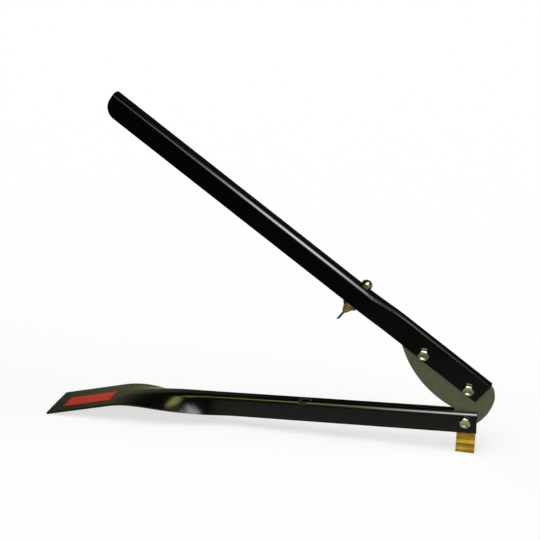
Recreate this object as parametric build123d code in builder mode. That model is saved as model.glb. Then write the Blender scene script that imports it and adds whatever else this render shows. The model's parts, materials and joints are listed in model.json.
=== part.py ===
from build123d import *

import os
from math import acos, asin, atan2, cos, degrees, hypot, pi, radians, sin, tan

# Slate cutter: a folded base arm on a foot, a folded lever hinged to its right end, a curved blade
# bolted into the lever and a pin punch on the lever. Millimetres, +Z up, +X towards the pivot end,
# -Y towards the bolt heads. The origin is on the floor straight under the pivot.
# Each arm has a side frame of its own at the pivot: s runs along the arm, n upwards.

# Sheet and blank: both arms are folded from one width of one sheet
sheet = 3.0
blank_width = 69.0
arm_width = 20.0
fold_radius = 6.0

# Base arm, measured from the pivot
arm_right = 15.0
arm_left = 597.0
web_above_pivot = 13.5
channel_end = 315.0
plate_start = 498.0
plate_bend = 438.4
plate_bend_half = 58.0
plate_slope = 11.7
plate_camber = 0.5
plate_trim = 1.5
unfold_stations = 12
unfold_onset = 1.75
unfold_finish = 2.0
pivot_height = 47.0

# Label on the foot plate
label_length = 76.0
label_width = 28.0
label_thickness = 0.3
label_corner_radius = 1.0
label_reach = 539.0
label_nearer = 5.4

# Blade slot and punch hole in the base arm
slot_clearance = 1.0
slot_end_clearance = 2.0
punch_hole_diameter = 13.0
punch_dish_diameter = 19.0
punch_dish_depth = 1.2

# Lever, measured from the pivot
rest_opening = 38.7
lever_left = 626.0
lever_right = 7.5
handle_edge = 29.9
clamp_edge = 29.1
draw_in_start = 208.0
draw_in_end = 150.0
draw_in_stations = 6
clamp_flat = 1.0
handle_corner_radius = 17.5

# Blade
blade_thickness = 5.0
edge_radius = 141.0
edge_lowest = 46.0
edge_run_out = 20.0
blade_front = 140.0
blade_rear = 16.2
rear_height = 19.0
rear_radius = 62.0
crown_height = 45.0
crown_radius = 28.0
blade_top_gap = 0.2
edge_bevel = 1.5
blade_bolt_near = 26.0
blade_bolt_spacing = 75.0
blade_bolt_height = 37.2

# Fasteners of one thread size
bolt_diameter = 8.0
bolt_clearance = 0.2
thread_clearance = 0.1
hex_shoulder = 2.5
head_height = 5.3
pivot_head_turn = 41.0
blade_head_turn = 30.0
nut_height = 6.5
hex_crown = 0.95
hex_crown_angle = 30.0
bolt_chamfer = 0.8
washer_shoulder = 4.0
washer_thickness = 1.6
spring_washer_shoulder = 3.0
spring_washer_thickness = 2.0
spring_washer_gap = 2.0
nut_collar_wall = 1.0
nut_collar_height = 1.8
nut_collar_lip = 0.5
nut_collar_radius = 0.9
insert_wall = 0.8
insert_clearance = 0.05
bolt_projection = 1.0

# Pivot
bush_diameter = 12.0
bush_running_clearance = 0.05
thrust_washer_diameter = 20.0
thrust_washer_clearance = 0.15
side_play = 0.2

# Foot bracket, a strip bent to a U with two pressed ridges in each leg
bracket_sheet = 2.5
bracket_left = 9.9
bracket_right = 14.9
bracket_above_pivot = 6.5
bracket_corner_radius = 5.0
upper_ridge_height = 14.6
upper_ridge_depth = 3.0
upper_ridge_rise = 4.9
valley_height = 11.4
valley_depth = 0.2
lower_ridge_height = 3.6
lower_ridge_depth = 2.4
lower_ridge_rise = 3.9
foot_depth = 0.4
ridge_radius = 3.0
valley_radius = 1.0

# Punch
punch_reach = 216.3
saddle_diameter = 21.0
saddle_depth = 7.4
saddle_tongue = 3.0
saddle_clearance = 0.1
saddle_taper = 3.0
holder_shoulder = 3.3
holder_tip_diameter = 6.0
holder_length = 8.9
holder_thread_depth = 4.6
pin_diameter = 3.0
pin_clearance = 0.1
pin_head_diameter = 5.0
pin_head = 1.4
pin_projection = 15.3
pin_bevel_angle = 35.0

# Worked out from the driving sizes
inner_half = arm_width / 2 - sheet
clamp_width = blade_thickness + 2 * sheet
clamp_radius = (clamp_width - clamp_flat) / 2
bolt_hole = bolt_diameter + 2 * bolt_clearance
thread_bore = bolt_diameter + 2 * thread_clearance
hex_across = bolt_diameter + 2 * hex_shoulder
washer_diameter = bolt_diameter + 2 * washer_shoulder
spring_washer_diameter = bolt_diameter + 2 * spring_washer_shoulder
insert_diameter = bolt_diameter + 2 * insert_wall
nut_collar_diameter = insert_diameter + 2 * nut_collar_wall
holder_diameter = bolt_diameter + 2 * holder_shoulder
web_cut = 2 * sheet
same_size = 0.001


def free_wall(width, radius):
    """Straight length of each wall when the blank is folded to a channel of this width and radius."""
    return (blank_width - width) / 2 + radius - (radius - sheet / 2) * pi / 2


def bend_point(width, radius, fold, depth, share):
    """Point on the right-hand bend, a depth under the blank's top face, a share of the way round it.

    The bend keeps its developed length at every fold angle, so the blank keeps its width.
    """
    turn = radians(fold)
    middle = (radius - sheet / 2) * pi / 2 / turn
    at_depth = middle + sheet / 2 - depth
    x = width / 2 - radius + at_depth * sin(turn * share)
    return x, at_depth * cos(turn * share) - middle - sheet / 2


def edge_point(width, radius, fold, depth, trim):
    """Point at the right-hand edge of the folded blank, a depth under its top face."""
    x, y = bend_point(width, radius, fold, depth, 1)
    wall = free_wall(width, radius) - trim
    return x + wall * cos(radians(fold)), y - wall * sin(radians(fold))


handle_top = handle_edge + fold_radius + free_wall(arm_width, fold_radius)
clamp_top = clamp_edge + clamp_radius + free_wall(clamp_width, clamp_radius)
blade_top = clamp_top - sheet - blade_top_gap
leg_inner = inner_half - bracket_sheet
thrust_washer = leg_inner - blade_thickness / 2 - side_play
thrust_washer_bore = bush_diameter + 2 * thrust_washer_clearance

# The arm leans so that the foot bracket and the end of the foot plate both meet the floor
plate_drop = (arm_left - plate_bend) * tan(radians(plate_slope))
plate_thickness = -edge_point(arm_width, fold_radius, plate_camber, sheet, plate_trim)[1]
plate_end_below_pivot = plate_drop + plate_thickness - web_above_pivot
arm_lean = degrees(
    asin(pivot_height / hypot(arm_left, plate_end_below_pivot)) - atan2(plate_end_below_pivot, arm_left)
)


def side_frame(lean):
    """Side frame at the pivot: its x runs along an arm that leans this far, its normal faces -Y."""
    along = (cos(radians(lean)), 0, sin(radians(lean)))
    return Plane(origin=(0, 0, pivot_height), x_dir=along, z_dir=(0, -1, 0))


arm = side_frame(arm_lean)
lever = side_frame(arm_lean - rest_opening)


def across(frame, s, n):
    """Section plane square to an arm at (s, n); its x is +Y and its y is the arm's upward direction."""
    return Plane(origin=frame.from_local_coords((s, n, 0)), x_dir=(0, 1, 0), z_dir=frame.x_dir)


def facing_up(frame, s, n):
    """Plane at (s, n) that faces along the arm's upward direction; its x runs along the arm."""
    return Plane(origin=frame.from_local_coords((s, n, 0)), x_dir=frame.x_dir, z_dir=frame.y_dir)


def facing_side(frame, s, n):
    """Plane at (s, n) that faces -Y, as the frame does."""
    return Plane(origin=frame.from_local_coords((s, n, 0)), x_dir=frame.x_dir, z_dir=frame.z_dir)


def folded_sheet(plane, width, radius, fold=90.0, trim=0.0):
    """Section of the blank folded at two bends, with the top of its web at the plane's origin.

    The fold is the angle of each bend in degrees and the trim is what is cut off each edge.
    """
    flat = width / 2 - radius
    with BuildSketch(plane) as section:
        with BuildLine():
            for side in (1, -1):
                edge_points = []
                for depth in (0, sheet):
                    bend = [bend_point(width, radius, fold, depth, share) for share in (0, 0.5, 1)]
                    bend = [(side * x, y) for x, y in bend]
                    edge_x, edge_y = edge_point(width, radius, fold, depth, trim)
                    edge_points.append((side * edge_x, edge_y))
                    ThreePointArc(*bend)
                    Line(bend[-1], edge_points[-1])
                Line(*edge_points)
            for depth in (0, sheet):
                Line((-flat, -depth), (flat, -depth))
        make_face()
    return section.sketch


def turned(seat, outline):
    """Turn an outline of (radius, height) points about the seat's axis, into the part in hand."""
    with BuildSketch(Plane(origin=seat.origin, x_dir=seat.x_dir, z_dir=-seat.y_dir)) as half:
        with BuildLine():
            Polyline(*outline, close=True)
        make_face()
    revolve(half.sketch, axis=Axis(seat.origin, seat.z_dir))


def ring(seat, outer, inner, thickness):
    """Stand a flat ring on the seat plane, in the part in hand."""
    with BuildSketch(seat) as face:
        Circle(outer / 2)
        Circle(inner / 2, mode=Mode.SUBTRACT)
    extrude(face.sketch, amount=thickness)


def bore(seat, diameter, depth):
    """Bore the part in hand from the seat plane outwards."""
    with BuildSketch(seat) as mouth:
        Circle(diameter / 2)
    extrude(mouth.sketch, amount=depth, mode=Mode.SUBTRACT)


def hexagon(seat, height, turn=0):
    """Stand a hexagon prism with a crowned outer end on the seat plane, in the part in hand."""
    with BuildSketch(seat) as flats:
        RegularPolygon(hex_across / 2, 6, major_radius=False, rotation=turn)
    with BuildSketch(seat.offset(height)) as crown:
        Circle(hex_across / 2 * hex_crown)
    prism = extrude(flats.sketch, amount=height, mode=Mode.PRIVATE)
    cone = extrude(crown.sketch, amount=-height, taper=hex_crown_angle - 90, mode=Mode.PRIVATE)
    add(prism & cone)


def hex_bolt(seat, length, turn):
    """Bolt whose hexagon head stands on the seat plane and whose shank runs the other way."""
    hexagon(seat, head_height, turn)
    shank = bolt_diameter / 2
    turned(
        seat,
        [
            (0, 0),
            (shank, 0),
            (shank, bolt_chamfer - length),
            (shank - bolt_chamfer, -length),
            (0, -length),
        ],
    )


def lock_nut(seat):
    """Hexagon nut on the seat plane with a rounded collar that is hollow for its insert."""
    collar = seat.offset(nut_height)
    hexagon(seat, nut_height)
    with BuildSketch(collar) as collar_face:
        Circle(nut_collar_diameter / 2)
    extrude(collar_face.sketch, amount=nut_collar_height)
    fillet(faces().sort_by(Axis(seat.origin, seat.z_dir))[-1].edges(), nut_collar_radius)
    bore(collar, insert_diameter, nut_collar_height - nut_collar_lip)
    bore(seat, thread_bore, nut_height + nut_collar_height)


def lock_nut_insert(seat):
    """Ring that fills the hollow of the lock nut's collar and grips the bolt."""
    outer = insert_diameter - 2 * insert_clearance
    inner = bolt_diameter + 2 * insert_clearance
    ring(seat.offset(nut_height), outer, inner, nut_collar_height - nut_collar_lip)


def on_circle(centre, radius, angle):
    """Point on a circle at an angle in degrees."""
    return centre[0] + radius * cos(radians(angle)), centre[1] + radius * sin(radians(angle))


def circle_arc(centre, radius, first, last):
    """Arc of a circle from one angle to another, in degrees."""
    return ThreePointArc(*[on_circle(centre, radius, a) for a in (first, (first + last) / 2, last)])


os.makedirs("parts", exist_ok=True)


# Base arm: channel, the stretch where the walls open out, and the flat foot plate
def unfolding(share):
    """Fold angle left, from the channel at 0 to the plate at 1, which keeps a slight camber."""
    return plate_camber + (90 - plate_camber) * (1 - share**unfold_onset) ** unfold_finish


def web_height(s):
    """Top of the web over the pivot: level along the channel, then bending over to the plate's slope."""
    past_bend = -s - plate_bend
    if abs(past_bend) < plate_bend_half:
        run = (past_bend + plate_bend_half) ** 2 / (4 * plate_bend_half)
    else:
        run = max(0, past_bend)
    return web_above_pivot - run * tan(radians(plate_slope))


opening_out = []
for station in range(unfold_stations + 1):
    share = station / unfold_stations
    s = -channel_end - share * (plate_start - channel_end)
    station_plane = across(arm, s, web_height(s))
    station_trim = share * plate_trim
    opening_out.append(folded_sheet(station_plane, arm_width, fold_radius, unfolding(share), station_trim))

down_plate = arm.x_dir * -cos(radians(plate_slope)) + arm.y_dir * -sin(radians(plate_slope))
plate_length = (arm_left - plate_start) / cos(radians(plate_slope))
slot_width = blade_thickness + 2 * slot_clearance
slot_left = blade_front + slot_end_clearance
web_face = facing_up(arm, 0, web_above_pivot)

with BuildPart() as base_arm:
    extrude(opening_out[0], amount=arm_right + channel_end)
    loft(opening_out)
    extrude(opening_out[-1], amount=plate_length, dir=down_plate)
    with BuildSketch(web_face):
        with Locations(((arm_right - slot_left + slot_width / 2) / 2, 0)):
            Rectangle(arm_right + slot_left - slot_width / 2, slot_width)
        with Locations((slot_width / 2 - slot_left, 0)):
            Circle(slot_width / 2)
    extrude(amount=-web_cut, mode=Mode.SUBTRACT)
    with Locations(facing_up(arm, -punch_reach, web_above_pivot)):
        CounterSinkHole(
            punch_hole_diameter / 2,
            punch_dish_diameter / 2,
            web_cut,
            2 * degrees(atan2(punch_dish_diameter - punch_hole_diameter, 2 * punch_dish_depth)),
        )
    with BuildSketch(arm):
        Circle(bolt_hole / 2)
    extrude(amount=arm_width, both=True, mode=Mode.SUBTRACT)
base_arm.part.label = "base_arm"
export_step(base_arm.part, "parts/base_arm.step")

# Label: the sticker's outline, cut to a thin layer that lies on the foot plate and has its shape
plate_up = arm.y_dir * cos(radians(plate_slope)) - arm.x_dir * sin(radians(plate_slope))
label_middle = arm.from_local_coords((-label_reach, web_height(-label_reach), label_nearer))

with BuildPart() as plate_label:
    with BuildSketch(Plane(origin=label_middle, x_dir=-down_plate, z_dir=plate_up)):
        RectangleRounded(label_length, label_width, label_corner_radius)
    extrude(amount=sheet, both=True)
    layer = opening_out[-1].moved(Pos(plate_up * label_thickness))
    extrude(layer, amount=plate_length, dir=down_plate, mode=Mode.INTERSECT)
    extrude(opening_out[-1], amount=plate_length, dir=down_plate, mode=Mode.SUBTRACT)
plate_label.part.label = "plate_label"
export_step(plate_label.part, "parts/plate_label.step")


# Foot bracket: U strip that stands upright on the floor, its legs inside the channel walls
def bracket_leg(side):
    """Outer corner points of one leg, from its top down to the floor, as (y, z)."""
    upper = inner_half + upper_ridge_depth
    valley = inner_half + valley_depth
    lower = inner_half + lower_ridge_depth
    outline = [
        (inner_half, pivot_height + bracket_above_pivot),
        (inner_half, upper_ridge_height + upper_ridge_rise),
        (upper, upper_ridge_height),
        (valley, valley_height),
        (inner_half + foot_depth, lower_ridge_height + lower_ridge_rise),
        (lower, lower_ridge_height),
        (inner_half + foot_depth, 0),
    ]
    return [(side * y, z) for y, z in outline]


leg_radii = [valley_radius, ridge_radius, valley_radius, valley_radius, ridge_radius, ridge_radius]
strip_end = Plane(origin=(-bracket_left, 0, 0), x_dir=(0, 1, 0), z_dir=(1, 0, 0))

with BuildPart() as foot_bracket:
    with BuildSketch(strip_end):
        with BuildLine():
            FilletPolyline(*bracket_leg(-1), *reversed(bracket_leg(1)), radius=leg_radii + leg_radii[::-1])
            offset(amount=bracket_sheet, side=Side.LEFT)
        make_face()
    extrude(amount=bracket_left + bracket_right)
    leg_corners = foot_bracket.edges().filter_by(Axis.Y).group_by(Axis.Z)[-1]
    fillet(leg_corners, bracket_corner_radius)
    with BuildSketch(arm):
        Circle(bolt_hole / 2)
    extrude(amount=arm_width, both=True, mode=Mode.SUBTRACT)
foot_bracket.part.label = "foot_bracket"
export_step(foot_bracket.part, "parts/foot_bracket.step")

# Pivot: bolt, washer and lock nut clamp the bush between the bracket's legs
near_wall = arm.offset(arm_width / 2)
far_wall = (-arm).offset(arm_width / 2)
far_washer = far_wall.offset(washer_thickness)
pivot_bolt_length = arm_width + washer_thickness + nut_height + nut_collar_height + bolt_projection

with BuildPart() as pivot_bolt:
    hex_bolt(near_wall, pivot_bolt_length, pivot_head_turn)
pivot_bolt.part.label = "pivot_bolt"
export_step(pivot_bolt.part, "parts/pivot_bolt.step")

with BuildPart() as pivot_washer:
    ring(far_wall, washer_diameter, bolt_hole, washer_thickness)
pivot_washer.part.label = "pivot_washer"
export_step(pivot_washer.part, "parts/pivot_washer.step")

with BuildPart() as pivot_nut:
    lock_nut(far_washer)
pivot_nut.part.label = "pivot_nut"
export_step(pivot_nut.part, "parts/pivot_nut.step")

with BuildPart() as pivot_nut_insert:
    lock_nut_insert(far_washer)
pivot_nut_insert.part.label = "pivot_nut_insert"
export_step(pivot_nut_insert.part, "parts/pivot_nut_insert.step")

with BuildPart() as pivot_bush:
    ring(arm.offset(-leg_inner), bush_diameter, thread_bore, 2 * leg_inner)
pivot_bush.part.label = "pivot_bush"
export_step(pivot_bush.part, "parts/pivot_bush.step")

with BuildPart() as thrust_washers:
    for facing in (arm, -arm):
        beside_blade = facing.offset(blade_thickness / 2 + side_play)
        ring(beside_blade, thrust_washer_diameter, thrust_washer_bore, thrust_washer)
thrust_washers.part.label = "thrust_washers"
export_step(thrust_washers.part, "parts/thrust_washers.step")


# Lever: handle channel, the stretch that draws in, and the clamp folded tight round the blade
def drawing_in(share):
    """Section of the lever between the handle at 0 and the clamp at 1."""
    eased = share**2 * (3 - 2 * share)
    s = -draw_in_start + share * (draw_in_start - draw_in_end)
    top = handle_top + eased * (clamp_top - handle_top)
    width = arm_width + eased * (clamp_width - arm_width)
    radius = fold_radius + eased * (clamp_radius - fold_radius)
    return folded_sheet(across(lever, s, top), width, radius)


draw_in = [drawing_in(station / draw_in_stations) for station in range(draw_in_stations + 1)]
blade_bolt_stations = [-blade_bolt_near, -blade_bolt_near - blade_bolt_spacing]

with BuildPart() as lever_arm:
    extrude(draw_in[0], amount=draw_in_start - lever_left)
    extrude(draw_in[-1], amount=draw_in_end - lever_right)
    loft(draw_in)
    handle_end = lever_arm.faces().sort_by(Axis(lever.origin, lever.x_dir))[0]
    lower_corners = handle_end.edges().filter_by(Axis.Y).group_by(Axis(lever.origin, lever.y_dir))[0]
    fillet(lower_corners, handle_corner_radius)
    for s in blade_bolt_stations:
        with BuildSketch(facing_side(lever, s, blade_bolt_height)):
            Circle(bolt_hole / 2)
        extrude(amount=clamp_width, both=True, mode=Mode.SUBTRACT)
    with BuildSketch(facing_up(lever, -punch_reach, handle_top)):
        Circle(bolt_hole / 2)
    extrude(amount=-web_cut, mode=Mode.SUBTRACT)
lever_arm.part.label = "lever_arm"
export_step(lever_arm.part, "parts/lever_arm.step")

# Blade: a long cutting arc, a lug round the pivot, a bowed rear edge and a crown under the lever's end
edge_centre = (-edge_lowest, edge_radius)
rear_centre = (blade_rear - rear_radius, rear_height)
lug_radius = rear_radius - hypot(*rear_centre)
lug_rear_angle = degrees(atan2(-rear_centre[1], -rear_centre[0]))
crown_angle = degrees(asin((crown_height - rear_height) / rear_radius))
crown_centre = on_circle(rear_centre, rear_radius - crown_radius, crown_angle)
crown_end_angle = degrees(asin((blade_top - crown_centre[1]) / crown_radius))
run_out_angle = -90 + degrees(asin((edge_lowest - edge_run_out) / edge_radius))
front_angle = -90 - degrees(asin((blade_front - edge_lowest) / edge_radius))
run_out = on_circle(edge_centre, edge_radius, run_out_angle)
lug_front_angle = degrees(atan2(run_out[1], run_out[0]) + acos(lug_radius / hypot(*run_out))) - 360

with BuildPart() as cutting_blade:
    with BuildSketch(lever):
        with BuildLine():
            crown = circle_arc(crown_centre, crown_radius, crown_end_angle, crown_angle)
            circle_arc(rear_centre, rear_radius, crown_angle, lug_rear_angle)
            lug = circle_arc((0, 0), lug_radius, lug_rear_angle, lug_front_angle)
            edge = circle_arc(edge_centre, edge_radius, run_out_angle, front_angle)
            Line(lug @ 1, edge @ 0)
            Polyline(edge @ 1, (-blade_front, blade_top), crown @ 0)
        make_face()
    extrude(amount=blade_thickness / 2, both=True)
    upper_edges = cutting_blade.faces().sort_by(Axis(lever.origin, lever.y_dir))[-1].edges()
    chamfer(upper_edges.filter_by(lambda e: e.length > blade_thickness), clamp_radius - sheet)
    edge_lines = cutting_blade.edges().filter_by(GeomType.CIRCLE)
    chamfer(edge_lines.filter_by(lambda e: abs(e.radius - edge_radius) < same_size), edge_bevel)
    with BuildSketch(lever):
        Circle(bush_diameter / 2 + bush_running_clearance)
        with Locations(*[(s, blade_bolt_height) for s in blade_bolt_stations]):
            Circle(bolt_hole / 2)
    extrude(amount=blade_thickness, both=True, mode=Mode.SUBTRACT)
cutting_blade.part.label = "cutting_blade"
export_step(cutting_blade.part, "parts/cutting_blade.step")

# Blade fasteners: heads on the near side, spring washers and nuts on the far side
blade_bolt_length = clamp_width + spring_washer_thickness + nut_height + bolt_projection
blade_seats = [facing_side(lever, s, blade_bolt_height) for s in blade_bolt_stations]

with BuildPart() as blade_bolts:
    for seat in blade_seats:
        hex_bolt(seat.offset(clamp_width / 2), blade_bolt_length, blade_head_turn)
blade_bolts.part.label = "blade_bolts"
export_step(blade_bolts.part, "parts/blade_bolts.step")

with BuildPart() as blade_spring_washers:
    for seat in blade_seats:
        far_side = (-seat).offset(clamp_width / 2)
        ring(far_side, spring_washer_diameter, bolt_hole, spring_washer_thickness)
        with BuildSketch(far_side):
            with Locations((0, spring_washer_diameter / 2)):
                Rectangle(spring_washer_gap, spring_washer_diameter)
        extrude(amount=spring_washer_thickness, mode=Mode.SUBTRACT)
blade_spring_washers.part.label = "blade_spring_washers"
export_step(blade_spring_washers.part, "parts/blade_spring_washers.step")

with BuildPart() as blade_nuts:
    for seat in blade_seats:
        far_side = (-seat).offset(clamp_width / 2 + spring_washer_thickness)
        hexagon(far_side, nut_height)
        bore(far_side, thread_bore, nut_height)
blade_nuts.part.label = "blade_nuts"
export_step(blade_nuts.part, "parts/blade_nuts.step")

# Punch: a stud through the lever, a lock nut on top, and under it a saddle and a conical holder for the pin
punch_top = facing_up(lever, -punch_reach, handle_top)
saddle_seat = facing_up(lever, -punch_reach, handle_edge)
holder_seat = facing_side(lever, -punch_reach, handle_edge - saddle_depth)
punch_axis = Axis(holder_seat.origin, lever.y_dir)
stud_above = nut_height + nut_collar_height + bolt_projection
stud_below = handle_top - handle_edge + saddle_depth + holder_thread_depth

with BuildPart() as punch_stud:
    with BuildSketch(punch_top.offset(stud_above)):
        Circle(bolt_diameter / 2)
    extrude(amount=-stud_above - stud_below)
    chamfer(punch_stud.edges().filter_by(GeomType.CIRCLE), bolt_chamfer)
punch_stud.part.label = "punch_stud"
export_step(punch_stud.part, "parts/punch_stud.step")

with BuildPart() as punch_lock_nut:
    lock_nut(punch_top)
punch_lock_nut.part.label = "punch_lock_nut"
export_step(punch_lock_nut.part, "parts/punch_lock_nut.step")

with BuildPart() as punch_lock_nut_insert:
    lock_nut_insert(punch_top)
punch_lock_nut_insert.part.label = "punch_lock_nut_insert"
export_step(punch_lock_nut_insert.part, "parts/punch_lock_nut_insert.step")

with BuildPart() as punch_saddle:
    with BuildSketch(saddle_seat):
        Circle(saddle_diameter / 2)
    extrude(amount=-saddle_depth)
    underside = punch_saddle.faces().sort_by(punch_axis)[0]
    chamfer(underside.edges(), saddle_taper)
    with BuildSketch(saddle_seat):
        Circle(saddle_diameter / 2)
        Rectangle(saddle_diameter, 2 * (inner_half - saddle_clearance), mode=Mode.INTERSECT)
    extrude(amount=saddle_tongue)
    with BuildSketch(saddle_seat):
        Circle(bolt_hole / 2)
    extrude(amount=2 * saddle_depth, both=True, mode=Mode.SUBTRACT)
punch_saddle.part.label = "punch_saddle"
export_step(punch_saddle.part, "parts/punch_saddle.step")

pin_bore = pin_diameter / 2 + pin_clearance
pin_head_bore = pin_head_diameter / 2 + pin_clearance
pin_shoulder = -holder_thread_depth - pin_head
pin_tip = -holder_length - pin_projection

with BuildPart() as punch_holder:
    with BuildSketch(holder_seat):
        with BuildLine():
            Polyline(
                (thread_bore / 2, 0),
                (holder_diameter / 2, 0),
                (holder_tip_diameter / 2, -holder_length),
                (pin_bore, -holder_length),
                (pin_bore, pin_shoulder),
                (pin_head_bore, pin_shoulder),
                (pin_head_bore, -holder_thread_depth),
                (thread_bore / 2, -holder_thread_depth),
                close=True,
            )
        make_face()
    revolve(axis=punch_axis)
punch_holder.part.label = "punch_holder"
export_step(punch_holder.part, "parts/punch_holder.step")

bevel_rise = pin_diameter * tan(radians(90 - pin_bevel_angle))

with BuildPart() as punch_pin:
    with BuildSketch(holder_seat):
        with BuildLine():
            Polyline(
                (0, -holder_thread_depth),
                (pin_head_diameter / 2, -holder_thread_depth),
                (pin_head_diameter / 2, pin_shoulder),
                (pin_diameter / 2, pin_shoulder),
                (pin_diameter / 2, pin_tip),
                (0, pin_tip),
                close=True,
            )
        make_face()
    revolve(axis=punch_axis)
    with BuildSketch(holder_seat):
        with BuildLine():
            Polyline(
                (-pin_diameter / 2, pin_tip),
                (pin_diameter / 2, pin_tip),
                (pin_diameter / 2, pin_tip + bevel_rise),
                close=True,
            )
        make_face()
    extrude(amount=pin_diameter, both=True, mode=Mode.SUBTRACT)
punch_pin.part.label = "punch_pin"
export_step(punch_pin.part, "parts/punch_pin.step")
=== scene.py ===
"""Looks of a roofer's slate cutter: folded arms in black enamel, ground blade, plated fasteners."""

import json
import logging
import math
from dataclasses import dataclass, field
from enum import Enum

import bmesh
import bpy
from mathutils import Matrix, Vector


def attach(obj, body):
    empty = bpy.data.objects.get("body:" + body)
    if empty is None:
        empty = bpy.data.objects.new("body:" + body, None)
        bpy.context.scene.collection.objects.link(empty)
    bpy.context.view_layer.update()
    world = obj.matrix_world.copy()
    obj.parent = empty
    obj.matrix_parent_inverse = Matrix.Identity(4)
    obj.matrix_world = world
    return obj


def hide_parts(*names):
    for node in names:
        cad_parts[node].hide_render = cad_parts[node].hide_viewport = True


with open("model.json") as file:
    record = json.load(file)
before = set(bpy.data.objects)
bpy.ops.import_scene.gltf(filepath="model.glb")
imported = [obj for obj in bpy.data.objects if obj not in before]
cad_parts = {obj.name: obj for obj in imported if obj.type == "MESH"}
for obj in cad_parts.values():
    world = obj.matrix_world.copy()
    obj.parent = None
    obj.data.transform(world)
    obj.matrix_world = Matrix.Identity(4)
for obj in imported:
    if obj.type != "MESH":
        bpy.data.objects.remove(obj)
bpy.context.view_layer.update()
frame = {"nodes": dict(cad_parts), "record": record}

LOG = logging.getLogger("slate_cutter")
MM = 0.001
WHITE = "#ffffff"

# Lean of both arms as photographed, middle of the pivot and side of the tool that the bolt heads are on
ARM_LEAN = math.radians(2.3474)
LEVER_LEAN = math.radians(-36.3526)
PIVOT_MM = Vector((0, 0, 47))
NEAR_SIDE = Vector((0, -1, 0))

# Sides of a hexagon, and the turn in degrees over a whole side and over half a side
HEX_SIDES = 6
HEX_TURN = 360 / HEX_SIDES
HEX_HALF = HEX_TURN / 2

# Mean value of a noise, and the sockets of a mixing node that carry colours
NOISE_MEAN = 0.5
MIX_FIRST, MIX_SECOND, MIX_RESULT = 6, 7, 2

# Points nearer than the first length become one, edges under the second go, steeper edges stay sharp
WELD_M = 1e-6
SLIVER_M = 1e-7
SHARP_EDGE = math.radians(32)

Socket = bpy.types.NodeSocket
Tree = bpy.types.NodeTree


class Body(Enum):
    """Rigid bodies of the tool."""

    BASE = "base"
    LEVER = "lever"


class Reach(Enum):
    """What a lamp lights: matt surfaces, or mirror images in glossy ones."""

    MATT = "matt"
    MIRRORED = "mirrored"


def linear(colour: str) -> tuple[float, float, float, float]:
    """Turn an sRGB hex colour into linear RGBA.

    Args:
        colour: Hex colour such as "#1a1b18".

    Returns:
        Linear red, green and blue, and an alpha of 1.
    """
    channels = [int(colour[i : i + 2], 16) / 255 for i in (1, 3, 5)]
    red, green, blue = [c / 12.92 if c <= 0.04045 else ((c + 0.055) / 1.055) ** 2.4 for c in channels]
    return red, green, blue, 1.0


def add_node(
    tree: Tree, kind: str, inputs: dict[str | int, object] | None = None, **settings: str | int
) -> bpy.types.Node:
    """Add a node with its settings, values and links.

    Args:
        tree: Node tree that takes the node.
        kind: Blender's name of the node's class.
        inputs: Value or source socket for each input, by name or number.
        settings: Attributes of the node.

    Returns:
        The new node.
    """
    node = tree.nodes.new(kind)
    for name, value in settings.items():
        setattr(node, name, value)
    for key, value in (inputs or {}).items():
        if isinstance(value, Socket):
            tree.links.new(value, node.inputs[key])
        else:
            node.inputs[key].default_value = value
    return node


def per_metre(size_mm: float) -> float:
    """Pattern scale that gives features of about this size, in millimetres."""
    return 1 / (size_mm * MM)


def arm_axes(lean: float) -> tuple[Vector, Vector]:
    """Find the directions along and up an arm that leans by this angle.

    Args:
        lean: Angle to the floor, in radians.

    Returns:
        Unit vectors along the arm, towards the pivot end, and upwards.
    """
    along = Vector((math.cos(lean), 0, math.sin(lean)))
    up = Vector((-math.sin(lean), 0, math.cos(lean)))
    return along, up


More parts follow.
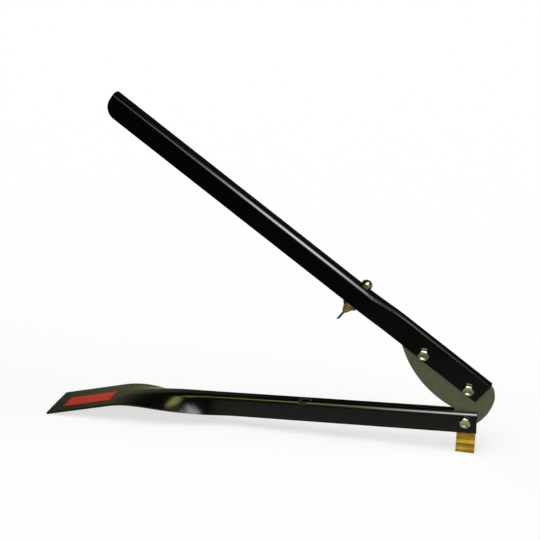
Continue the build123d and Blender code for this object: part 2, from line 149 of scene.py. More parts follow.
@dataclass(frozen=True)
class Finish:
    """A surface finish: the shader's constants and the sizes of its patterns in millimetres."""

    name: str
    colour: str
    second: str
    roughness: float
    spread: float = 0.06
    metallic: float = 0.0
    ior: float = 1.5
    mottle_mm: float = 12.0
    mottle_detail: float = 4.0
    mottle_breakup: float = 0.55
    contrast: float = 1.0
    gloss_span: tuple[float, float] = (0.3, 0.7)
    grain_mm: float = 1.2
    grain_detail: float = 2.0
    relief_mm: float = 0.01
    edge_mm: float = 0.3
    edge_samples: int = 4
    stretch: tuple[float, float, float] = (1.0, 1.0, 1.0)
    turn: float = 0.0

    def material(self) -> bpy.types.Material:
        """Build the node material.

        Returns:
            The new material.
        """
        made = bpy.data.materials.new(self.name)
        made.use_nodes = True
        made.diffuse_color = linear(self.colour)
        tree = made.node_tree
        tree.nodes.clear()
        place = add_node(tree, "ShaderNodeTexCoord").outputs["Object"]
        tint, gloss = self.mottle(tree, place)
        shader = add_node(
            tree,
            "ShaderNodeBsdfPrincipled",
            {
                "Base Color": self.dress(tree, place, tint),
                "Metallic": self.metallic,
                "Roughness": gloss,
                "IOR": self.ior,
                "Normal": self.relief(tree, place),
            },
        )
        add_node(tree, "ShaderNodeOutputMaterial", {"Surface": shader.outputs["BSDF"]})
        return made

    def mottle(self, tree: Tree, place: Socket) -> tuple[Socket, Socket]:
        """Change colour and gloss slowly over the surface.

        Args:
            tree: Node tree of the material.
            place: Coordinates in metres.

        Returns:
            Sockets of the colour and of the roughness.
        """
        clouds = add_node(
            tree,
            "ShaderNodeTexNoise",
            {
                "Vector": place,
                "Scale": per_metre(self.mottle_mm),
                "Detail": self.mottle_detail,
                "Roughness": self.mottle_breakup,
            },
        ).outputs["Fac"]
        swing = NOISE_MEAN / self.contrast
        share = add_node(
            tree,
            "ShaderNodeMapRange",
            {"Value": clouds, "From Min": NOISE_MEAN - swing, "From Max": NOISE_MEAN + swing},
        ).outputs["Result"]
        tint = add_node(
            tree,
            "ShaderNodeMix",
            {"Factor": share, MIX_FIRST: linear(self.colour), MIX_SECOND: linear(self.second)},
            data_type="RGBA",
        ).outputs[MIX_RESULT]
        low, high = self.gloss_span
        gloss = add_node(
            tree,
            "ShaderNodeMapRange",
            {
                "Value": clouds,
                "From Min": low,
                "From Max": high,
                "To Min": self.roughness - self.spread / 2,
                "To Max": self.roughness + self.spread / 2,
            },
        ).outputs["Result"]
        return tint, gloss

    def dress(self, tree: Tree, place: Socket, tint: Socket) -> Socket:
        """Last layer of the colour; a plain finish has none."""
        return tint

    def relief(self, tree: Tree, place: Socket) -> Socket:
        """Lay fine relief, stretched along the way that the surface was worked, over rounded edges.

        Args:
            tree: Node tree of the material.
            place: Coordinates in metres.

        Returns:
            Socket of the bumped normal.
        """
        laid = add_node(
            tree,
            "ShaderNodeMapping",
            {"Vector": place, "Rotation": (0, self.turn, 0), "Scale": self.stretch},
        ).outputs["Vector"]
        grain = add_node(
            tree,
            "ShaderNodeTexNoise",
            {"Vector": laid, "Scale": per_metre(self.grain_mm), "Detail": self.grain_detail},
        ).outputs["Fac"]
        edge = add_node(
            tree,
            "ShaderNodeBevel",
            {"Radius": self.edge_mm * MM},
            samples=self.edge_samples,
        ).outputs["Normal"]
        return add_node(
            tree,
            "ShaderNodeBump",
            {"Height": grain, "Strength": 1.0, "Distance": self.relief_mm * MM, "Normal": edge},
        ).outputs["Normal"]


@dataclass(frozen=True)
class Enamel(Finish):
    """Enamel over folded sheet, rubbed matt where the slates press on it over the punch hole."""

    rubbed_mm: tuple[float, float, float] = (0.0, 0.0, 0.0)
    rubbed_reach_mm: float = 8.0
    rubbed_shape: tuple[float, float, float] = (1.0, 0.0, 1.7)
    rubbed_roughness: float = 1.0

    def mottle(self, tree: Tree, place: Socket) -> tuple[Socket, Socket]:
        """Add the rubbed band, right across the arm, to the slow change of gloss.

        Args:
            tree: Node tree of the material.
            place: Coordinates in metres.

        Returns:
            Sockets of the colour and of the roughness.
        """
        tint, gloss = super().mottle(tree, place)
        off = add_node(
            tree,
            "ShaderNodeVectorMath",
            {0: place, 1: Vector(self.rubbed_mm) * MM},
            operation="SUBTRACT",
        ).outputs["Vector"]
        flat = add_node(
            tree,
            "ShaderNodeVectorMath",
            {0: off, 1: self.rubbed_shape},
            operation="MULTIPLY",
        ).outputs["Vector"]
        away = add_node(tree, "ShaderNodeVectorMath", {0: flat}, operation="LENGTH").outputs["Value"]
        reach = self.rubbed_reach_mm * MM
        worn = add_node(
            tree,
            "ShaderNodeMapRange",
            {
                "Value": away,
                "From Min": reach / 2,
                "From Max": reach,
                "To Min": self.rubbed_roughness,
                "To Max": 0.0,
            },
            interpolation_type="SMOOTHSTEP",
        ).outputs["Result"]
        rubbed = add_node(tree, "ShaderNodeMath", {0: gloss, 1: worn}, operation="MAXIMUM").outputs["Value"]
        return tint, rubbed


@dataclass(frozen=True)
class Sticker(Finish):
    """Plain vinyl: a coloured field with a dark line just inside its edge."""

    ink: str = "#3a1412"
    middle_mm: tuple[float, float, float] = (0.0, 0.0, 0.0)
    slope: float = 0.0
    half_mm: tuple[float, float] = (38.0, 14.0)
    inset_mm: float = 1.8
    line_mm: float = 0.6

    def dress(self, tree: Tree, place: Socket, tint: Socket) -> Socket:
        """Print the line over the field.

        Args:
            tree: Node tree of the material.
            place: Coordinates in metres.
            tint: Socket of the field's colour.

        Returns:
            Socket of the printed colour.
        """
        along, _ = arm_axes(self.slope)
        off = add_node(
            tree,
            "ShaderNodeVectorMath",
            {0: place, 1: Vector(self.middle_mm) * MM},
            operation="SUBTRACT",
        ).outputs["Vector"]
        gaps = []
        for direction, half in zip((along, NEAR_SIDE), self.half_mm):
            run = add_node(
                tree,
                "ShaderNodeVectorMath",
                {0: off, 1: direction},
                operation="DOT_PRODUCT",
            ).outputs["Value"]
            size = add_node(tree, "ShaderNodeMath", {0: run}, operation="ABSOLUTE").outputs["Value"]
            edge = (half - self.inset_mm) * MM
            gap = add_node(tree, "ShaderNodeMath", {0: size, 1: edge}, operation="SUBTRACT").outputs["Value"]
            gaps.append(gap)
        beyond = add_node(
            tree,
            "ShaderNodeMath",
            {0: gaps[0], 1: gaps[1]},
            operation="MAXIMUM",
        ).outputs["Value"]
        off_line = add_node(tree, "ShaderNodeMath", {0: beyond}, operation="ABSOLUTE").outputs["Value"]
        line = add_node(
            tree,
            "ShaderNodeMath",
            {0: off_line, 1: self.line_mm * MM / 2},
            operation="LESS_THAN",
        ).outputs["Value"]
        return add_node(
            tree,
            "ShaderNodeMix",
            {"Factor": line, MIX_FIRST: tint, MIX_SECOND: linear(self.ink)},
            data_type="RGBA",
        ).outputs[MIX_RESULT]


# Stove enamel sprayed on folded sheet: deep black with a wet gloss and a faint orange peel
ENAMEL = Enamel(
    "black_stove_enamel",
    "#070906",
    "#0b0d09",
    roughness=0.13,
    spread=0.04,
    ior=1.33,
    mottle_mm=40,
    grain_mm=2.6,
    relief_mm=0.003,
    edge_mm=0.5,
    rubbed_mm=(-219.5, 0.0, 50.3),
)
# Tool steel off the surface grinder and oiled: olive grey, dull, with lines along the blade.
# Real grinding lines are too fine to show, so these are drawn several times as coarse.
BLADE_STEEL = Finish(
    "ground_tool_steel",
    "#6e6c57",
    "#545540",
    roughness=0.4,
    spread=0.1,
    metallic=0.75,
    mottle_mm=16,
    contrast=2.2,
    grain_mm=0.9,
    relief_mm=0.01,
    edge_mm=0.2,
    stretch=(0.04, 1.0, 1.0),
    turn=LEVER_LEAN,
)
# Electroplated zinc with a clear passivate: bright silver with a green cast
CLEAR_ZINC = Finish(
    "clear_zinc_plate",
    "#b6ba9f",
    "#999d82",
    roughness=0.2,
    spread=0.1,
    metallic=1.0,
    mottle_mm=3,
    contrast=1.5,
    grain_mm=1.6,
    relief_mm=0.012,
    edge_mm=0.15,
)
# Electroplated zinc with a yellow chromate: gold that drifts towards orange and olive
YELLOW_ZINC = Finish(
    "yellow_chromate_zinc",
    "#8a772b",
    "#785200",
    roughness=0.75,
    spread=0.1,
    metallic=0.85,
    mottle_mm=11,
    contrast=2.2,
    grain_mm=0.7,
    relief_mm=0.004,
    edge_mm=0.25,
)
# Turned steel, its thin black oxide rubbed and oiled: dull olive over charcoal
BLACK_OXIDE = Finish(
    "rubbed_black_oxide_steel",
    "#837a4a",
    "#5a5334",
    roughness=0.42,
    metallic=0.8,
    mottle_mm=4,
    grain_mm=0.5,
)
# Hardened pin left in its heat-treatment skin: brown black, dull
PIN_STEEL = Finish(
    "tempered_pin_steel",
    "#3f3027",
    "#2e231b",
    roughness=0.38,
    metallic=0.85,
    mottle_mm=3,
    grain_mm=0.4,
    edge_mm=0.1,
)
# Plain bearing bronze, turned and oiled: soft brown gold
BRONZE = Finish(
    "bearing_bronze",
    "#b08d57",
    "#8f7144",
    roughness=0.35,
    metallic=1.0,
    mottle_mm=4,
    grain_mm=0.5,
    edge_mm=0.15,
)
# Nylon as moulded: milky white with a soft sheen
NYLON = Finish(
    "natural_nylon",
    "#e4e2d8",
    "#d8d5c8",
    roughness=0.45,
    ior=1.53,
    mottle_mm=5,
    grain_mm=0.8,
    edge_mm=0.1,
)
# Printed vinyl under clear film: strong red, glossy, laid flat on the enamel
RED_VINYL = Sticker(
    "red_vinyl_film",
    "#cb1f1a",
    "#bf1a16",
    roughness=0.28,
    ior=1.4,
    mottle_mm=20,
    grain_mm=4,
    relief_mm=0.01,
    edge_mm=0.1,
    middle_mm=(-538.9, -5.4, 17.6),
    slope=math.radians(14.05),
)

FINISH_OF_SLOT = {
    "black_paint": ENAMEL,
    "blade_steel": BLADE_STEEL,
    "clear_zinc": CLEAR_ZINC,
    "yellow_zinc": YELLOW_ZINC,
    "black_oxide": BLACK_OXIDE,
    "pin_steel": PIN_STEEL,
    "bronze": BRONZE,
    "nylon": NYLON,
    "red_vinyl": RED_VINYL,
}


@dataclass
class Wardrobe:
    """Materials by record slot, made once each."""

    made: dict[str, bpy.types.Material] = field(default_factory=dict)

    def of(self, slot: str) -> bpy.types.Material:
        """Find the material of a record slot, or make it the first time it is asked for.

        Args:
            slot: Name of the slot in the record.

        Returns:
            The material.
        """
        if slot not in self.made:
            self.made[slot] = FINISH_OF_SLOT[slot].material()
        return self.made[slot]

    def dress_frame(self) -> None:
        """Put each CAD node in the finish of its record slot."""
        for row in frame["record"]["subparts"]:
            node = frame["nodes"][row["node"]]
            if not node.material_slots:
                node.data.materials.append(None)
            for holder in node.material_slots:
                holder.material = self.of(row["material_slot"])
            LOG.info("%s wears %s", row["node"], row["material_slot"])


# Points of a ring: radius in millimetres, angle in radians and height in millimetres
Ring = list[tuple[float, float, float]]


@dataclass(frozen=True)
class Seat:
    """Where a fastener sits: a point on its axis in millimetres, its axis and a side direction."""

    origin: Vector
    axis: Vector
    side: Vector

    def turned(self, degrees: float) -> "Seat":
        """The same seat with its side direction turned about the axis."""
        return Seat(self.origin, self.axis, Matrix.Rotation(math.radians(degrees), 3, self.axis) @ self.side)

    def point(self, radius: float, angle: float, height: float) -> Vector:
        """Find a point round the axis.

        Args:
            radius: Distance from the axis, in millimetres.
            angle: Angle from the side direction, in radians.
            height: Height over the seat, in millimetres.

        Returns:
            The point, in metres.
        """
        across = self.axis.cross(self.side)
        outwards = self.side * math.cos(angle) + across * math.sin(angle)
        return (self.origin + outwards * radius + self.axis * height) * MM


@dataclass(frozen=True)
class Shell:
    """Rings round a seat that take a skin; in a closed shell the last ring joins the first."""

    seat: Seat
    rings: list[Ring]
    closed: bool = False


@dataclass(frozen=True)
class Thread:
    """Metric thread and the hexagons that go with it, in millimetres.

    The steps are angles in degrees over one side of the hexagon, close together at its corners. The shares
    are the parts of a turn at which the thread's crest and root begin and end.
    """

    major: float = 7.96
    minor: float = 6.7
    pitch: float = 1.25
    crest_shares: tuple[float, float] = (0.0, 0.125)
    root_shares: tuple[float, float] = (0.4375, 0.8125)
    across_flats: float = 13.0
    corner: float = 0.5
    crown: float = 0.95
    crown_slope: float = math.tan(math.radians(30))
    crown_steps: int = 8
    steps: tuple[float, ...] = (-30, -28.6, -27.2, -20, -10, 0, 10, 20, 27.2, 28.6)

    def angles(self) -> list[float]:
        """Angles round the axis, close together at the hexagon's corners, from 0 to a full turn."""
        middles = [HEX_TURN * side + HEX_HALF for side in range(HEX_SIDES)]
        return [math.radians(middle + step) for middle in middles for step in self.steps] + [2 * math.pi]

    def hexagon(self, angle: float) -> float:
        """Find the radius of the hexagon with rounded corners.

        Args:
            angle: Angle round the axis, in radians; a corner is at 0.

        Returns:
            The radius at that angle.
        """
        apothem = self.across_flats / 2
        off_corner = abs((math.degrees(angle) + HEX_HALF) % HEX_TURN - HEX_HALF)
        off_flat = math.radians(HEX_HALF - off_corner)
        half_turn = math.radians(HEX_HALF)
        if math.tan(off_flat) * apothem <= (apothem - self.corner) * math.tan(half_turn):
            return apothem / math.cos(off_flat)
        centre = (apothem - self.corner) / math.cos(half_turn)
        aside = math.radians(off_corner)
        return centre * math.cos(aside) + math.sqrt(self.corner**2 - (centre * math.sin(aside)) ** 2)

    def plain(self, radius: float, height: float) -> Ring:
        """Round ring."""
        return [(radius, angle, height) for angle in self.angles()]

    def clipped(self, radius: float, height: float) -> Ring:
        """Round ring cut back to the hexagon."""
        return [(min(radius, self.hexagon(angle)), angle, height) for angle in self.angles()]

    def flats(self, low: float, high: float) -> list[Ring]:
        """Make a hexagon between two heights, with both ends crowned by cones.

        Args:
            low: Height of the lower end.
            high: Height of the upper end.

        Returns:
            Rings from the lower end to the upper.
        """
        inner = self.across_flats / 2 * self.crown
        outer = self.across_flats / 2 / math.cos(math.radians(HEX_HALF))
        rise = (outer - inner) * self.crown_slope
        shares = [step / self.crown_steps for step in range(self.crown_steps + 1)]
        crown = [(inner + (outer - inner) * share, rise * share) for share in shares]
        below = [self.clipped(radius, low + height) for radius, height in crown]
        above = [self.clipped(radius, high - height) for radius, height in reversed(crown)]
        return below + above

    def helix(self, start: float, end: float) -> list[Ring]:
        """Run a right-hand thread down from one height to another, where it ends in a chamfer.

        Args:
            start: Height of the upper end.
            end: Height of the lower end.

        Returns:
            Rings from the upper end to the lower.
        """
        crest = self.major / 2
        root = self.minor / 2
        outline = [(share, crest) for share in self.crest_shares]
        outline += [(share, root) for share in self.root_shares]
        rings = []
        for turn in range(-1, math.ceil((start - end) / self.pitch) + 1):
            for share, radius in outline:
                ring = []
                for angle in self.angles():
                    height = start - (turn + share + angle / (2 * math.pi)) * self.pitch
                    if height >= start:
                        ring.append((crest, angle, start))
                    elif height <= end:
                        ring.append((root, angle, end))
                    else:
                        ring.append((min(radius, root + height - end), angle, height))
                rings.append(ring)
        return rings


THREAD = Thread()


def skin(name: str, shells: list[Shell]) -> bpy.types.Object:
    """Make one mesh object from shells of rings.

    Args:
        name: Name of the object.
        shells: Shells that the object is made of.

    Returns:
        The new object, smooth with sharp edges.
    """
    shape = bmesh.new()
    for shell in shells:
        rows = [[shape.verts.new(shell.seat.point(*spot)) for spot in ring] for ring in shell.rings]
        pairs = list(zip(rows, rows[1:]))
        if shell.closed:
            pairs.append((rows[-1], rows[0]))
        else:
            shape.faces.new(rows[0][:-1])
            shape.faces.new(rows[-1][:-1])
        for low, high in pairs:
            for i in range(len(low) - 1):
                shape.faces.new((low[i], low[i + 1], high[i + 1], high[i]))
    bmesh.ops.remove_doubles(shape, verts=shape.verts, dist=WELD_M)
    bmesh.ops.dissolve_degenerate(shape, edges=shape.edges, dist=SLIVER_M)
    bmesh.ops.recalc_face_normals(shape, faces=shape.faces)
    mesh = bpy.data.meshes.new(name)
    shape.to_mesh(mesh)
    shape.free()
    mesh.shade_smooth()
    mesh.set_sharp_from_angle(angle=SHARP_EDGE)
    made = bpy.data.objects.new(name, mesh)
    bpy.context.scene.collection.objects.link(made)
    return made


@dataclass
class Hardware:
    """Threaded fasteners of one sub-assembly, made in full in place of the plain CAD ones.

    Sizes are in millimetres. The washer face and the dish's rim are shares of the hexagon's inscribed
    radius, the dish's wall and floor are shares of its rim, and the wall's foot lies at a share of the
    dish's depth.
    """

    wardrobe: Wardrobe
    body: Body
    head_height: float = 5.3
    washer_face: float = 0.35
    washer_face_share: float = 0.93
    dish: float = 0.95
    dish_rim_share: float = 0.84
    dish_wall_share: float = 0.72
    dish_wall_depth_share: float = 0.8
    dish_floor_share: float = 0.35
    nut_height: float = 6.5
    bore: float = 8.1
    mouth: float = 0.5
    collar_diameter: float = 11.6
    collar_height: float = 1.8
    collar_round: float = 0.9
    collar_steps: int = 6
    collar_lip: float = 0.5
    ring_recess: float = 0.75

    def fit(self, made: bpy.types.Object, node: str) -> bpy.types.Object:
        """Dress a piece in zinc, let it stand for its CAD node and move with its body.

        Args:
            made: The piece.
            node: CAD node that it stands for.

        Returns:
            The piece.
        """
        made.data.materials.append(self.wardrobe.of("clear_zinc"))
        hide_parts(node)
        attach(made, self.body.value)
        LOG.info("%s stands for %s", made.name, node)
        return made

    def bolt(self, seat: Seat, length: float, plain: float) -> Shell:
        """Make a hexagon bolt: thread, plain shank, washer face, crowned head with a dish.

        Args:
            seat: Where the head sits; the axis points out of the head.
            length: Length under the head.
            plain: Length of the shank without thread.

        Returns:
            The bolt's shell.
        """
        face = THREAD.across_flats / 2 * self.washer_face_share
        rim = THREAD.across_flats / 2 * self.dish_rim_share
        wall_depth = self.dish * self.dish_wall_depth_share
        rings = [
            THREAD.plain(rim * self.dish_floor_share, self.head_height - self.dish),
            THREAD.plain(rim * self.dish_wall_share, self.head_height - wall_depth),
            THREAD.plain(rim, self.head_height),
            *reversed(THREAD.flats(self.washer_face, self.head_height)),
            THREAD.plain(face, self.washer_face),
            THREAD.plain(face, 0),
            THREAD.plain(THREAD.major / 2, 0),
            *THREAD.helix(-plain, -length),
        ]
        return Shell(seat, rings)

    def nut(self, seat: Seat) -> Shell:
        """Make a plain hexagon nut, crowned at both ends, with countersunk mouths.

        Args:
            seat: Where the nut sits; the axis points away from the work.

        Returns:
            The nut's shell.
        """
        bore = self.bore / 2
        rings = [
            THREAD.plain(bore + self.mouth, 0),
            *THREAD.flats(0, self.nut_height),
            THREAD.plain(bore + self.mouth, self.nut_height),
            THREAD.plain(bore, self.nut_height - self.mouth),
            THREAD.plain(bore, self.mouth),
        ]
        return Shell(seat, rings, closed=True)

    def lock_nut(self, seat: Seat) -> Shell:
        """Make a hexagon nut with a rounded collar, rolled in over its nylon ring.

        Args:
            seat: Where the nut sits; the axis points away from the work.

        Returns:
            The nut's shell.
        """
        bore = self.bore / 2
        collar = self.collar_diameter / 2
        top = self.nut_height + self.collar_height
        rounded = []
        for step in range(self.collar_steps + 1):
            turn = math.radians(90 * step / self.collar_steps)
            radius = collar - self.collar_round * (1 - math.cos(turn))
            rounded.append(THREAD.plain(radius, top - self.collar_round * (1 - math.sin(turn))))
        rings = [
            THREAD.plain(bore + self.mouth, 0),
            *THREAD.flats(0, self.nut_height),
            THREAD.plain(collar, self.nut_height),
            *rounded,
            THREAD.plain(bore + self.collar_lip, top),
            THREAD.plain(bore + self.collar_lip, top - self.collar_lip),
            THREAD.plain(bore + self.ring_recess, top - self.collar_lip),
            THREAD.plain(bore + self.ring_recess, self.nut_height),
            THREAD.plain(bore, self.nut_height),
            THREAD.plain(bore, self.mouth),
        ]
        return Shell(seat, rings, closed=True)


@dataclass
class PivotHardware(Hardware):
    """Pivot bolt and its lock nut, across the base arm."""

    body: Body = Body.BASE
    half_width: float = 10.0
    washer: float = 1.6
    bolt_length: float = 30.9
    plain_shank: float = 19.0
    head_turn: float = 41.0

    def build(self) -> list[bpy.types.Object]:
        """Make the bolt and the nut.

        Returns:
            Both pieces.
        """
        along, _ = arm_axes(ARM_LEAN)
        near = Seat(PIVOT_MM + NEAR_SIDE * self.half_width, NEAR_SIDE, along).turned(self.head_turn)
        far = Seat(PIVOT_MM - NEAR_SIDE * (self.half_width + self.washer), -NEAR_SIDE, along)
        bolt = self.bolt(near, self.bolt_length, self.plain_shank)
        return [
            self.fit(skin("pivot_bolt_threaded", [bolt]), "pivot_bolt"),
            self.fit(skin("pivot_nut_collared", [self.lock_nut(far)]), "pivot_nut"),
        ]


@dataclass
class BladeHardware(Hardware):
    """The two bolts that clamp the blade in the lever, with split washers and nuts on the far side."""

    body: Body = Body.LEVER
    stations: tuple[float, float] = (-26.0, -101.0)
    above: float = 37.2
    half_clamp: float = 5.5
    bolt_length: float = 20.5
    plain_shank: float = 10.0
    head_turn: float = 30.0
    washer: float = 2.0
    washer_outer: float = 7.0
    washer_inner: float = 4.2
    washer_lift: float = 0.16
    washer_ease: float = 0.25
    washer_steps: int = 60
    cut_at: float = 90.0
    cut_half: float = 8.0
    cut_slant: float = 6.0

    def split_washer(self, seat: Seat) -> Shell:
        """Make a spring washer, squeezed nearly flat and cut slantwise, from its section at each angle.

        Args:
            seat: Where the washer sits; the axis points away from the work.

        Returns:
            The washer's shell.
        """
        thick = self.washer - self.washer_lift
        ease = self.washer_ease
        section = [
            (self.washer_inner, ease),
            (self.washer_inner + ease, 0),
            (self.washer_outer - ease, 0),
            (self.washer_outer, ease),
            (self.washer_outer, thick - ease),
            (self.washer_outer - ease, thick),
            (self.washer_inner + ease, thick),
            (self.washer_inner, thick - ease),
        ]
        slant = math.radians(self.cut_slant)
        rings = []
        for step in range(self.washer_steps + 1):
            share = step / self.washer_steps
            angle = math.radians(self.cut_at + self.cut_half + share * (360 - 2 * self.cut_half))
            ring = [
                (radius, angle + slant * (height / thick - 0.5), height + self.washer_lift * share)
                for radius, height in section + section[:1]
            ]
            rings.append(ring)
        return Shell(seat, rings)

    def build(self) -> list[bpy.types.Object]:
        """Make the bolts, the washers and the nuts.

        Returns:
            The three pairs, as a piece each.
        """
        along, up = arm_axes(LEVER_LEAN)
        bolts = []
        washers = []
        nuts = []
        for station in self.stations:
            middle = PIVOT_MM + along * station + up * self.above
            near = Seat(middle + NEAR_SIDE * self.half_clamp, NEAR_SIDE, along).turned(self.head_turn)
            wall = Seat(middle - NEAR_SIDE * self.half_clamp, -NEAR_SIDE, along)
            far = Seat(wall.origin + wall.axis * self.washer, wall.axis, along)
            bolts.append(self.bolt(near, self.bolt_length, self.plain_shank))
            washers.append(self.split_washer(wall))
            nuts.append(self.nut(far))
        return [
            self.fit(skin("blade_bolts_threaded", bolts), "blade_bolts"),
            self.fit(skin("blade_washers_split", washers), "blade_spring_washers"),
            self.fit(skin("blade_nuts_crowned", nuts), "blade_nuts"),
        ]


@dataclass
class PunchHardware(Hardware):
    """The punch's stud through the lever and the lock nut on top."""

    body: Body = Body.LEVER
    station: float = -216.3
    above: float = 59.331
    stud_above: float = 9.3
    stud_below: float = 41.43
    stud_chamfer: float = 0.6

    def stud(self, seat: Seat) -> Shell:
        """Make a stud with a thread along its whole length and a chamfer at each end.

        Args:
            seat: Where the lock nut on it sits.

        Returns:
            The stud's shell.
        """
        shoulder = self.stud_above - self.stud_chamfer
        rings = [
            THREAD.plain(THREAD.minor / 2, self.stud_above),
            THREAD.plain(THREAD.major / 2, shoulder),
            *THREAD.helix(shoulder, -self.stud_below),
        ]
        return Shell(seat, rings)

    def build(self) -> list[bpy.types.Object]:
        """Make the stud and the lock nut.

        Returns:
            Both pieces.
        """
        along, up = arm_axes(LEVER_LEAN)
        seat = Seat(PIVOT_MM + along * self.station + up * self.above, up, along)
        return [
            self.fit(skin("punch_stud_threaded", [self.stud(seat)]), "punch_stud"),
            self.fit(skin("punch_nut_collared", [self.lock_nut(seat)]), "punch_lock_nut"),
        ]


@dataclass(frozen=True)
class Softbox:
    """A flat lamp, in metres, that faces its aim.

    Its size is its length, in the direction given as along, and its width. Its radiance is the brightness
    of its face, full over the core, a share of the half size, and fading to nothing at the edge. A core of
    1 is a plain rectangle.
    """

    name: str
    at: tuple[float, float, float]
    aim: tuple[float, float, float]
    size: tuple[float, float]
    radiance: float
    along: tuple[float, float, float]
    reach: Reach = Reach.MIRRORED
    colour: str = WHITE
    core: float = 0.2

    def hang(self) -> bpy.types.Object:
        """Put the lamp in its place.

        Returns:
            The lamp.
        """
        length, width = self.size
        light = bpy.data.lights.new(self.name, "AREA")
        light.shape = "RECTANGLE"
        light.size = length
        light.size_y = width
        light.energy = self.radiance * math.pi * length * width
        light.color = linear(self.colour)[:3]
        if self.core < 1:
            self.fade(light)
        made = bpy.data.objects.new(self.name, light)
        made.visible_camera = False
        made.visible_diffuse = self.reach is Reach.MATT
        made.visible_glossy = self.reach is Reach.MIRRORED
        back = (Vector(self.at) - Vector(self.aim)).normalized()
        right = (Vector(self.along) - back * back.dot(Vector(self.along))).normalized()
        axes = Matrix((right, back.cross(right), back)).transposed()
        made.matrix_world = Matrix.Translation(Vector(self.at)) @ axes.to_4x4()
        bpy.context.scene.collection.objects.link(made)
        return made

    def fade(self, light: bpy.types.Light) -> None:
        """Let the brightness fade from the full core to nothing at the edge.

        Args:
            light: The lamp's light.
        """
        light.use_nodes = True
        tree = light.node_tree
        tree.nodes.clear()
        # The face's own coordinates run from 0 to 1, and the centred ones from -1 to 1
        spot = add_node(tree, "ShaderNodeNewGeometry").outputs["Parametric"]
        centred = add_node(
            tree,
            "ShaderNodeVectorMath",
            {0: spot, 1: (2.0, 2.0, 0.0), 2: (-1.0, -1.0, 0.0)},
            operation="MULTIPLY_ADD",
        ).outputs["Vector"]
        away = add_node(tree, "ShaderNodeVectorMath", {0: centred}, operation="LENGTH").outputs["Value"]
        share = add_node(
            tree,
            "ShaderNodeMapRange",
            {"Value": away, "From Min": self.core, "From Max": 1.0, "To Min": 1.0, "To Max": 0.0},
            interpolation_type="SMOOTHSTEP",
        ).outputs["Result"]
        glow = add_node(tree, "ShaderNodeEmission", {"Color": linear(WHITE), "Strength": share})
        add_node(tree, "ShaderNodeOutputLight", {"Surface": glow.outputs["Emission"]})


# One big soft lamp for the matt surfaces, and the panel and windows whose mirror images line the enamel
SOFTBOXES = (
    Softbox(
        "overhead",
        at=(-0.2, -0.5, 1.9),
        aim=(-0.2, 0, 0),
        size=(1.6, 1.6),
        radiance=4.3,
        along=(1, 0, 0),
        reach=Reach.MATT,
        core=1.0,
    ),
    Softbox(
        "warm_panel",
        at=(-0.91, -1.75, 2.74),
        aim=(-0.45, 0, 0.04),
        size=(1.48, 2.51),
        radiance=9.2,
        along=(0.856, -0.489, -0.171),
        colour="#fffb8d",
    ),
    Softbox(
        "window",
        at=(0.55, -3.95, 1.29),
        aim=(-0.42, 0, 0.03),
        size=(1.91, 4.2),
        radiance=12.5,
        along=(0.755, 0.361, 0.547),
    ),
    Softbox(
        "tall_window",
        at=(0.027, -0.501, 0.592),
        aim=(-0.05, -0.01, 0.06),
        size=(0.873, 0.56),
        radiance=26,
        along=(0.505, 0.669, 0.545),
    ),
    Softbox(
        "side_window",
        at=(-0.047, -0.368, 0.465),
        aim=(-0.28, 0, 0.22),
        size=(0.916, 1.478),
        radiance=1.8,
        along=(-0.815, -0.141, 0.563),
    ),
)


@dataclass(frozen=True)
class Shade:
    """Change of the backdrop's brightness along one axis of the direction that a ray leaves in."""

    axis: str
    span: tuple[float, float]
    levels: tuple[float, float]


# A dim wall on the left, darker at its far left, towards the right and with height
WALL_SHADES = (
    Shade("X", (-0.6, -0.5), (0.35, 1.0)),
    Shade("X", (-0.42, -0.2), (1.0, 0.1)),
    Shade("Z", (0.18, 0.42), (1.0, 0.5)),
    Shade("Z", (0.45, 0.85), (1.0, 0.15)),
)
# Paper behind the tool, seen below the horizon
PAPER_SHADES = (
    Shade("Z", (-0.22, -0.1), (1.0, 0.0)),
    Shade("Y", (0.05, 0.3), (0.0, 1.0)),
)


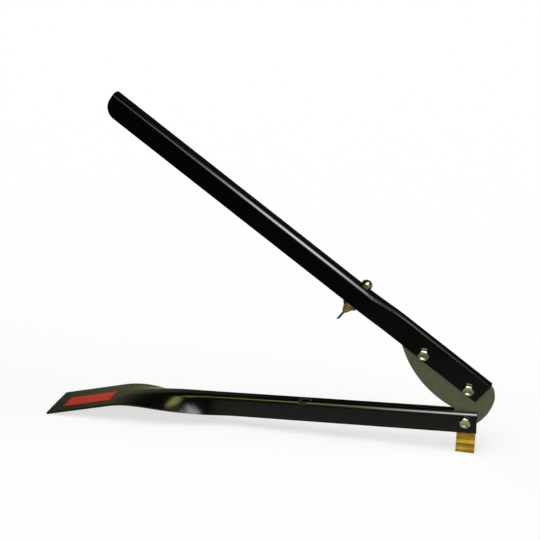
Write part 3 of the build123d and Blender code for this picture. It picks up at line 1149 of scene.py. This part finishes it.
@dataclass
class Studio:
    """Camera, floor, lamps and backdrop. The camera was found by fitting both arms to the photograph."""

    eye_mm: tuple[float, float, float] = (-15.74, -1066.35, 612.04)
    right: tuple[float, float, float] = (0.97373, 0.22767, -0.00387)
    up: tuple[float, float, float] = (-0.07025, 0.31654, 0.94597)
    back: tuple[float, float, float] = (0.21659, -0.92085, 0.32422)
    focal_px: float = 871.2
    image_px: float = 540.0
    sensor_mm: float = 36.0
    clip_m: tuple[float, float] = (0.05, 200.0)
    floor_m: float = 30.0
    paper_reach: float = 0.16
    paper_albedo: float = 0.36
    paper_lift: float = 0.7
    paper_mirrored: float = 0.48
    paper_edge: float = 0.15
    paper_behind: float = 0.55
    paper_tint: str = "#eefade"
    wall: float = 0.47
    wall_colour: str = "#fafac8"

    def camera(self) -> bpy.types.Object:
        """Place the camera at the photograph's point of view.

        Returns:
            The camera.
        """
        lens = bpy.data.cameras.new("camera")
        lens.sensor_width = self.sensor_mm
        lens.lens = self.focal_px / self.image_px * self.sensor_mm
        lens.clip_start, lens.clip_end = self.clip_m
        made = bpy.data.objects.new("camera", lens)
        axes = Matrix((self.right, self.up, self.back)).transposed()
        made.matrix_world = Matrix.Translation(Vector(self.eye_mm) * MM) @ axes.to_4x4()
        bpy.context.scene.collection.objects.link(made)
        bpy.context.scene.camera = made
        return made

    def floor(self) -> bpy.types.Object:
        """Lay the paper that the tool stands on.

        Returns:
            The floor.
        """
        half = self.floor_m
        corners = [(-half, -half, 0), (half, -half, 0), (half, half, 0), (-half, half, 0)]
        mesh = bpy.data.meshes.new("floor")
        mesh.from_pydata(corners, [], [(0, 1, 2, 3)])
        mesh.materials.append(self.paper())
        made = bpy.data.objects.new("floor", mesh)
        bpy.context.scene.collection.objects.link(made)
        return made

    def paper(self) -> bpy.types.Material:
        """Make the floor's paper.

        It is white to the camera and keeps the tool's shadow. In mirror images it is dimmer, fades away
        from the tool and ends behind it.

        Returns:
            The new material.
        """
        made = bpy.data.materials.new("floor_paper")
        made.use_nodes = True
        tree = made.node_tree
        tree.nodes.clear()
        rays = add_node(tree, "ShaderNodeLightPath").outputs
        seen = rays["Is Camera Ray"]
        mirrored = add_node(
            tree,
            "ShaderNodeMath",
            {0: rays["Is Glossy Ray"], 1: rays["Is Transmission Ray"]},
            operation="MAXIMUM",
        ).outputs["Value"]
        place = add_node(tree, "ShaderNodeTexCoord").outputs["Object"]
        aside = add_node(tree, "ShaderNodeSeparateXYZ", {"Vector": place}).outputs["Y"]
        share = add_node(
            tree,
            "ShaderNodeMath",
            {0: aside, 1: self.paper_reach},
            operation="DIVIDE",
        ).outputs["Value"]
        fade = add_node(
            tree,
            "ShaderNodeMath",
            {0: share, 1: share, 2: 1.0},
            operation="MULTIPLY_ADD",
        ).outputs["Value"]
        near = add_node(tree, "ShaderNodeMath", {0: 1.0, 1: fade}, operation="DIVIDE").outputs["Value"]
        dimmed = add_node(
            tree,
            "ShaderNodeMath",
            {0: mirrored, 1: self.paper_mirrored},
            operation="MULTIPLY",
        ).outputs["Value"]
        in_mirror = add_node(
            tree,
            "ShaderNodeMath",
            {0: dimmed, 1: near},
            operation="MULTIPLY",
        ).outputs["Value"]
        to_camera = add_node(
            tree,
            "ShaderNodeMath",
            {0: near, 1: self.paper_lift - 1.0, 2: 1.0},
            operation="MULTIPLY_ADD",
        ).outputs["Value"]
        lift = add_node(
            tree,
            "ShaderNodeMix",
            {"Factor": seen, "A": in_mirror, "B": to_camera},
            data_type="FLOAT",
        ).outputs["Result"]
        colour = add_node(
            tree,
            "ShaderNodeMix",
            {"Factor": seen, MIX_FIRST: linear(self.paper_tint), MIX_SECOND: linear(WHITE)},
            data_type="RGBA",
        ).outputs[MIX_RESULT]
        albedo = add_node(
            tree,
            "ShaderNodeMath",
            {0: near, 1: self.paper_albedo},
            operation="MULTIPLY",
        ).outputs["Value"]
        matt = add_node(tree, "ShaderNodeBsdfDiffuse", {"Color": albedo}).outputs["BSDF"]
        glow = add_node(tree, "ShaderNodeEmission", {"Color": colour, "Strength": lift}).outputs["Emission"]
        both = add_node(tree, "ShaderNodeAddShader", {0: matt, 1: glow}).outputs["Shader"]
        past = add_node(
            tree,
            "ShaderNodeMath",
            {0: aside, 1: self.paper_edge},
            operation="GREATER_THAN",
        ).outputs["Value"]
        gone = add_node(tree, "ShaderNodeMath", {0: past, 1: mirrored}, operation="MULTIPLY").outputs["Value"]
        clear = add_node(tree, "ShaderNodeBsdfTransparent").outputs["BSDF"]
        cut = add_node(tree, "ShaderNodeMixShader", {0: gone, 1: both, 2: clear}).outputs["Shader"]
        add_node(tree, "ShaderNodeOutputMaterial", {"Surface": cut})
        return made

    def sky(self) -> None:
        """Surround the tool with a backdrop that is white to the camera.

        Mirror images show a dim wall on the left and, from behind, the paper instead.
        """
        world = bpy.data.worlds.new("studio")
        world.use_nodes = True
        tree = world.node_tree
        tree.nodes.clear()
        way = add_node(tree, "ShaderNodeTexCoord").outputs["Generated"]
        parts = add_node(tree, "ShaderNodeSeparateXYZ", {"Vector": way}).outputs
        seen = add_node(tree, "ShaderNodeLightPath").outputs["Is Camera Ray"]
        strength = seen
        for level, shades in ((self.wall, WALL_SHADES), (self.paper_behind, PAPER_SHADES)):
            layer = level
            for shade in shades:
                low, high = shade.span
                start, end = shade.levels
                share = add_node(
                    tree,
                    "ShaderNodeMapRange",
                    {
                        "Value": parts[shade.axis],
                        "From Min": low,
                        "From Max": high,
                        "To Min": start,
                        "To Max": end,
                    },
                    interpolation_type="SMOOTHSTEP",
                ).outputs["Result"]
                layer = add_node(
                    tree,
                    "ShaderNodeMath",
                    {0: layer, 1: share},
                    operation="MULTIPLY",
                ).outputs["Value"]
            strength = add_node(
                tree,
                "ShaderNodeMath",
                {0: strength, 1: layer},
                operation="MAXIMUM",
            ).outputs["Value"]
        colour = add_node(
            tree,
            "ShaderNodeMix",
            {"Factor": seen, MIX_FIRST: linear(self.wall_colour), MIX_SECOND: linear(WHITE)},
            data_type="RGBA",
        ).outputs[MIX_RESULT]
        glow = add_node(tree, "ShaderNodeBackground", {"Color": colour, "Strength": strength})
        add_node(tree, "ShaderNodeOutputWorld", {"Surface": glow.outputs["Background"]})
        bpy.context.scene.world = world

    def build(self) -> None:
        """Set up the whole studio."""
        bpy.context.scene.view_settings.view_transform = "Standard"
        self.camera()
        self.floor()
        for softbox in SOFTBOXES:
            softbox.hang()
        self.sky()


def main() -> None:
    """Dress the CAD nodes, add the threaded fasteners and set up the studio."""
    logging.basicConfig(level=logging.INFO, format="%(message)s")
    wardrobe = Wardrobe()
    wardrobe.dress_frame()
    pieces = []
    for group in (PivotHardware(wardrobe), BladeHardware(wardrobe), PunchHardware(wardrobe)):
        pieces += group.build()
    LOG.info("%d detailed pieces", len(pieces))
    Studio().build()


if __name__ == "__main__":
    main()
